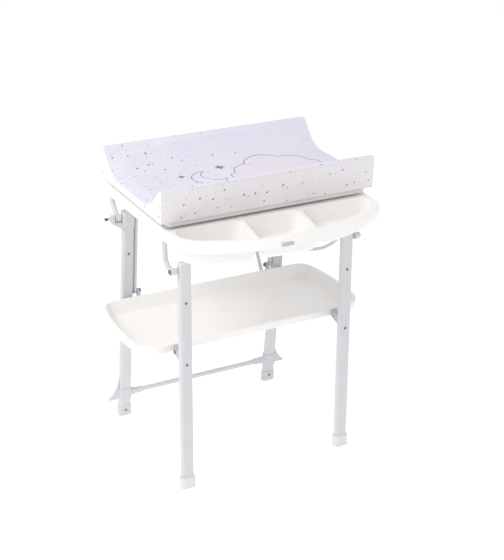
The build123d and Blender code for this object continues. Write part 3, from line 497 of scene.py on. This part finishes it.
def printedVinyl():
    # PVC film on a knit backing, welded round foam: satin, embossed like fine leather, printed with dots and a night sky
    material, tree, surface = newMaterial("printedVinyl", {"IOR": 1.5, "Coat Weight": 0.08, "Coat Roughness": 0.3})

    def calc(operation, *values):
        settings, links = {"operation": operation}, {}
        for slot, value in enumerate(values):
            if isinstance(value, (int, float)):
                settings[slot] = float(value)
            else:
                links[slot] = value
        return addNode(tree, "ShaderNodeMath", settings, links).outputs[0]

    place = addNode(tree, "ShaderNodeTexCoord").outputs["Object"]
    sheet = addNode(tree, "ShaderNodeUVMap", {"uv_map": "print"}).outputs["UV"]
    axes = addNode(tree, "ShaderNodeSeparateXYZ", links={"Vector": sheet}).outputs
    across, along = axes["X"], axes["Y"]

    def dots(cellMm, smallMm, bigMm, reach):
        # one dot in each cell of a Voronoi pattern; cells are about cellMm wide
        cells = addNode(tree, "ShaderNodeTexVoronoi",
                        {"voronoi_dimensions": "2D", "Scale": perMm(cellMm), "Randomness": 0.95}, {"Vector": sheet})
        tint = addNode(tree, "ShaderNodeSeparateColor", links={"Color": cells.outputs["Color"]}).outputs
        middle = addNode(tree, "ShaderNodeSeparateXYZ", links={"Vector": cells.outputs["Position"]}).outputs
        radius = calc("MULTIPLY_ADD", tint["Red"], (bigMm - smallMm) / cellMm, smallMm / cellMm)
        spot = calc("LESS_THAN", cells.outputs["Distance"], radius)
        # inside the mat the dots thin out towards the right; the outer panels have them all over
        thin = addNode(tree, "ShaderNodeMapRange",
                       {"From Min": -0.22, "From Max": 0.12, "To Min": reach, "To Max": 0.0},
                       {"Value": calc("MULTIPLY", middle["X"], 1.0)})
        outer = calc("GREATER_THAN", calc("ABSOLUTE", along), 0.5)
        chance = calc("MAXIMUM", thin.outputs["Result"], calc("MULTIPLY", outer, reach))
        ends = calc("GREATER_THAN", calc("ABSOLUTE", across), 1.0)
        chance = calc("MAXIMUM", chance, calc("MULTIPLY", ends, reach))
        return calc("MULTIPLY", spot, calc("LESS_THAN", tint["Green"], chance)), tint["Blue"]

    def circle(x, y, radius):
        flat = addNode(tree, "ShaderNodeVectorMath", {"operation": "DISTANCE", 1: (x, y, 0.0)}, {0: sheet})
        return calc("SUBTRACT", flat.outputs["Value"], radius)

    def together(shapes, join):
        found = shapes[0]
        for shape in shapes[1:]:
            found = calc(join, found, shape)
        return found

    def line(shape, widthMm):
        return calc("LESS_THAN", calc("ABSOLUTE", shape), widthMm / 2000)

    # a cloud, a sleeping moon's crescent and four-pointed stars, in metres on the laid-out sheet
    cloud = together([circle(0.06, 0.005, 0.062), circle(0.14, 0.045, 0.08), circle(0.225, 0.02, 0.066),
                      circle(0.01, -0.03, 0.04), circle(0.275, -0.022, 0.042), circle(0.14, -0.07, 0.12)], "MINIMUM")
    cloud = calc("MAXIMUM", cloud, calc("SUBTRACT", -0.06, along))
    moon = together([circle(-0.105, 0.0, 0.062), calc("MULTIPLY", circle(-0.072, 0.016, 0.053), -1.0)], "MAXIMUM")
    stars = []
    for x, y, size in ((-0.03, 0.075, 0.026), (-0.19, 0.045, 0.018), (-0.035, -0.075, 0.018), (-0.262, -0.085, 0.026)):
        dx = calc("POWER", calc("ABSOLUTE", calc("SUBTRACT", across, x)), 0.6)
        dy = calc("POWER", calc("ABSOLUTE", calc("SUBTRACT", along, y)), 0.6)
        stars.append(calc("SUBTRACT", calc("ADD", dx, dy), size ** 0.6))
    starArea = together(stars, "MINIMUM")
    strokes = together([line(cloud, 3.2), line(moon, 3.0)], "MAXIMUM")
    starInk = calc("LESS_THAN", starArea, 0.0)

    bigDots, bigTint = dots(50, 2.2, 3.9, 0.8)
    smallDots, smallTint = dots(28, 1.0, 2.3, 0.6)

    inner = calc("LESS_THAN", calc("ABSOLUTE", along), 0.5)
    inner = calc("MULTIPLY", inner, calc("LESS_THAN", calc("ABSOLUTE", across), 1.0))
    cloth = addNode(tree, "ShaderNodeMix", {"data_type": "RGBA", 6: hexColour("#f0edee"), 7: hexColour("#e7e6f1")}, {0: inner})
    blush = addNode(tree, "ShaderNodeMix", {"data_type": "RGBA", 7: hexColour("#ece5ee")},
                    {0: calc("LESS_THAN", cloud, 0.0), 6: cloth.outputs[2]})
    wear = addNode(tree, "ShaderNodeTexNoise", {"Scale": perMm(120), "Detail": 3.0}, {"Vector": place}).outputs["Fac"]
    toned = addNode(tree, "ShaderNodeMix", {"data_type": "RGBA", "blend_type": "MULTIPLY", 7: hexColour("#f6f5f8")},
                    {0: wear, 6: blush.outputs[2]})
    colour = toned.outputs[2]
    for mask, ink in ((smallDots, "#b4b2bd"), (bigDots, "#8d8b97"), (strokes, "#74727f"), (starInk, "#7d7b88")):
        colour = addNode(tree, "ShaderNodeMix", {"data_type": "RGBA", 7: hexColour(ink)},
                         {0: mask, 6: colour}).outputs[2]
    tree.links.new(colour, surface.inputs["Base Color"])
    gloss = addNode(tree, "ShaderNodeMapRange", {"To Min": 0.36, "To Max": 0.5}, {"Value": wear})
    tree.links.new(gloss.outputs["Result"], surface.inputs["Roughness"])
    # embossed grain, drawn at 1.6 mm where the real one is 0.6 mm, so that it shows
    pebble = addNode(tree, "ShaderNodeTexVoronoi", {"feature": "SMOOTH_F1", "Scale": perMm(1.6)}, {"Vector": place})
    fine = addNode(tree, "ShaderNodeBump", {"Strength": 0.25, "Distance": 0.00006}, {"Height": pebble.outputs["Distance"]})
    soft = addNode(tree, "ShaderNodeTexNoise", {"Scale": perMm(28), "Detail": 2.0}, {"Vector": place})
    foam = addNode(tree, "ShaderNodeBump", {"Strength": 0.35, "Distance": 0.0008},
                   {"Height": soft.outputs["Fac"], "Normal": fine.outputs[0]})
    tree.links.new(foam.outputs[0], surface.inputs["Normal"])
    return material


def weldedVinyl():
    # the same film where heat has pressed it solid: whiter, smoother and shinier than the cover
    material, tree, surface = newMaterial("weldedVinyl", {"IOR": 1.5, "Coat Weight": 0.15})
    place = mottle(tree, surface, "#f1eff4", "#e6e4ec", 18, 0.28, 0.42)
    skin(tree, surface, place, [(2.5, 0.08, 0.4)])
    return material


def addMat(mat):
    vinyl = printedVinyl()
    points, faces = extrudeAlongX(matProfile(mat, mat["inset"]), matLow.x + mat["inset"], matHigh.x - mat["inset"])
    piece = newPiece("changingMatCover", points, faces, None, vinyl)
    swell(piece, mat)
    smooth = piece.modifiers.new("subdivide", "SUBSURF")
    smooth.levels = smooth.render_levels = 1
    applyModifiers(piece)
    handledShape(piece, mat)
    settleOnBoard(piece)
    printMap(piece, mat)
    smoothShade(piece)
    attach(piece, "mat")
    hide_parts("changing_mat")
    return piece


def tubeAlong(line, radius, sides, closed):
    # round bead swept along a line of points, its section carried on from point to point
    count = len(line)
    points, faces = [], []
    across = None
    for i, here in enumerate(line):
        before = line[i - 1] if i or closed else here
        after = line[(i + 1) % count] if i < count - 1 or closed else here
        ahead = (after - before).normalized()
        if across is None:
            across = ahead.orthogonal().normalized()
        across = (across - across.dot(ahead) * ahead).normalized()
        third = ahead.cross(across)
        for turn in range(sides):
            angle = 2 * math.pi * turn / sides
            points.append(here + radius * (math.cos(angle) * across + math.sin(angle) * third))
    rings = count if closed else count - 1
    for i in range(rings):
        j = (i + 1) % count
        for turn in range(sides):
            after = (turn + 1) % sides
            faces.append((i * sides + turn, j * sides + turn, j * sides + after, i * sides + after))
    if not closed:
        faces.append(tuple(reversed(range(sides))))
        faces.append(tuple(range((count - 1) * sides, count * sides)))
    return points, faces


def snapToSkin(line, piece, lift):
    # moves each point of a line onto the swollen cover and a little out of it
    skin = BVHTree.FromObject(piece, bpy.context.evaluated_depsgraph_get())
    out = []
    for point in line:
        place, normal, _, _ = skin.find_nearest(point)
        out.append(place + normal * lift)
    return out


def evenSteps(line, step):
    # the same line with points about a step apart
    out = []
    for a, b in zip(line, line[1:]):
        parts = max(1, round((b - a).length / step))
        out += [a.lerp(b, i / parts) for i in range(parts)]
    return out + [line[-1]]


def addWelds(piece, mat, material):
    # beads of pressed vinyl along the welds
    for number, line in enumerate(weldLines(mat)):
        closed = (line[0] - line[-1]).length < 1e-6
        steps = evenSteps(line, mat["beadStep"])
        if closed:
            steps = steps[:-1]
        bead = snapToSkin(steps, piece, mat["beadLift"])
        points, faces = tubeAlong(bead, mat["beadRadius"], 8, closed)
        weld = newPiece(f"matWeld{number}", points, faces, "mat", material)
        smoothShade(weld, 50)


matCover = addMat(matSettings)
addWelds(matCover, matSettings, weldedVinyl())
print("changing mat:", len(matCover.data.polygons), "faces")

# ---------- plugs in the rear legs ----------
legPlugs = {"height": 0.716, "fromOuterEdge": 0.012, "halfWidth": 0.0026, "halfHeight": 0.006, "dome": 0.0014, "sides": 24}


def addLegPlug(side, plug):
    # oval press-in plug, domed, in the hole that the catch is fitted through
    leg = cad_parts["rear_leg" + side]
    low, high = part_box("rear_leg" + side)
    x = low.x + plug["fromOuterEdge"] if side == "_left" else high.x - plug["fromOuterEdge"]
    skin = BVHTree.FromObject(leg, bpy.context.evaluated_depsgraph_get())
    place, normal, _, _ = skin.ray_cast(Vector((x, low.y - 0.5, plug["height"])), Vector((0, 1, 0)))
    level = Vector((1, 0, 0))
    upright = normal.cross(level).normalized()
    rings = ((1.0, -0.0008), (1.0, 0.0005), (0.82, 0.0011), (0.45, plug["dome"]))
    points = []
    for size, lift in rings:
        for turn in range(plug["sides"]):
            angle = 2 * math.pi * turn / plug["sides"]
            flat = plug["halfWidth"] * size * math.cos(angle) * level + plug["halfHeight"] * size * math.sin(angle) * upright
            points.append(place + flat + lift * normal)
    sides = plug["sides"]
    faces = [tuple(range(sides))]
    for ring in range(len(rings) - 1):
        for turn in range(sides):
            after = (turn + 1) % sides
            a, b = ring * sides, (ring + 1) * sides
            faces.append((a + turn, b + turn, b + after, a + after))
    faces.append(tuple(reversed(range((len(rings) - 1) * sides, len(rings) * sides))))
    piece = newPiece("rearLegPlug" + side, points, faces, "rear_frame", frontFootNylon)
    bm = bmesh.new()
    bm.from_mesh(piece.data)
    bmesh.ops.recalc_face_normals(bm, faces=bm.faces)
    bm.to_mesh(piece.data)
    bm.free()
    smoothShade(piece, 40)


for side in ("_left", "_right"):
    addLegPlug(side, legPlugs)
print("plugs in the rear legs: done")

# ---------- floor and light ----------
studio = {
    "floorColour": "#fbfbfb",
    "floorGlow": 0.26,       # paper lit from behind, so that it stays white
    "floorSize": 40.0,
    "worldColour": "#fdfdff",
    "worldStrength": 0.79,
    "lamps": [
        # name, place, target, size, watts, colour
        ("key", (-2.9, -0.5, 3.6), (0.0, 0.0, 0.7), 2.0, 62.0, "#fffdf8"),
        ("fill", (2.8, -2.0, 2.0), (0.0, 0.0, 0.6), 2.5, 5.0, "#f6f9ff"),
    ],
}


def seamlessFloor():
    # matt paper sweep
    material, tree, surface = newMaterial("paperSweep", {
        "Roughness": 0.9, "Specular IOR Level": 0.1, "Emission Color": (1, 1, 1, 1), "Emission Strength": studio["floorGlow"],
    })
    place = addNode(tree, "ShaderNodeTexCoord").outputs["Object"]
    grain = addNode(tree, "ShaderNodeTexNoise", {"Scale": perMm(400), "Detail": 2.0}, {"Vector": place}).outputs["Fac"]
    tone = addNode(tree, "ShaderNodeMix",
                   {"data_type": "RGBA", 6: hexColour(studio["floorColour"]), 7: hexColour("#f8f8f8")}, {0: grain})
    tree.links.new(tone.outputs[2], surface.inputs["Base Color"])
    return material


def addStudio(look):
    half = look["floorSize"] / 2
    floor = newPiece("floor", [(-half, -half, 0), (half, -half, 0), (half, half, 0), (-half, half, 0)], [(0, 1, 2, 3)],
                     None, seamlessFloor())
    world = bpy.data.worlds.new("studio")
    scene.world = world
    world.use_nodes = True
    sky = world.node_tree.nodes["Background"]
    sky.inputs["Color"].default_value = hexColour(look["worldColour"])
    sky.inputs["Strength"].default_value = look["worldStrength"]
    for name, place, target, size, watts, colour in look["lamps"]:
        lamp = bpy.data.lights.new(name, "AREA")
        lamp.shape = "DISK"
        lamp.size = size
        lamp.energy = watts
        lamp.color = hexColour(colour)[:3]
        holder = bpy.data.objects.new(name, lamp)
        scene.collection.objects.link(holder)
        holder.location = place
        holder.rotation_euler = (Vector(target) - Vector(place)).to_track_quat("-Z", "Y").to_euler()


addStudio(studio)
print("studio: done")
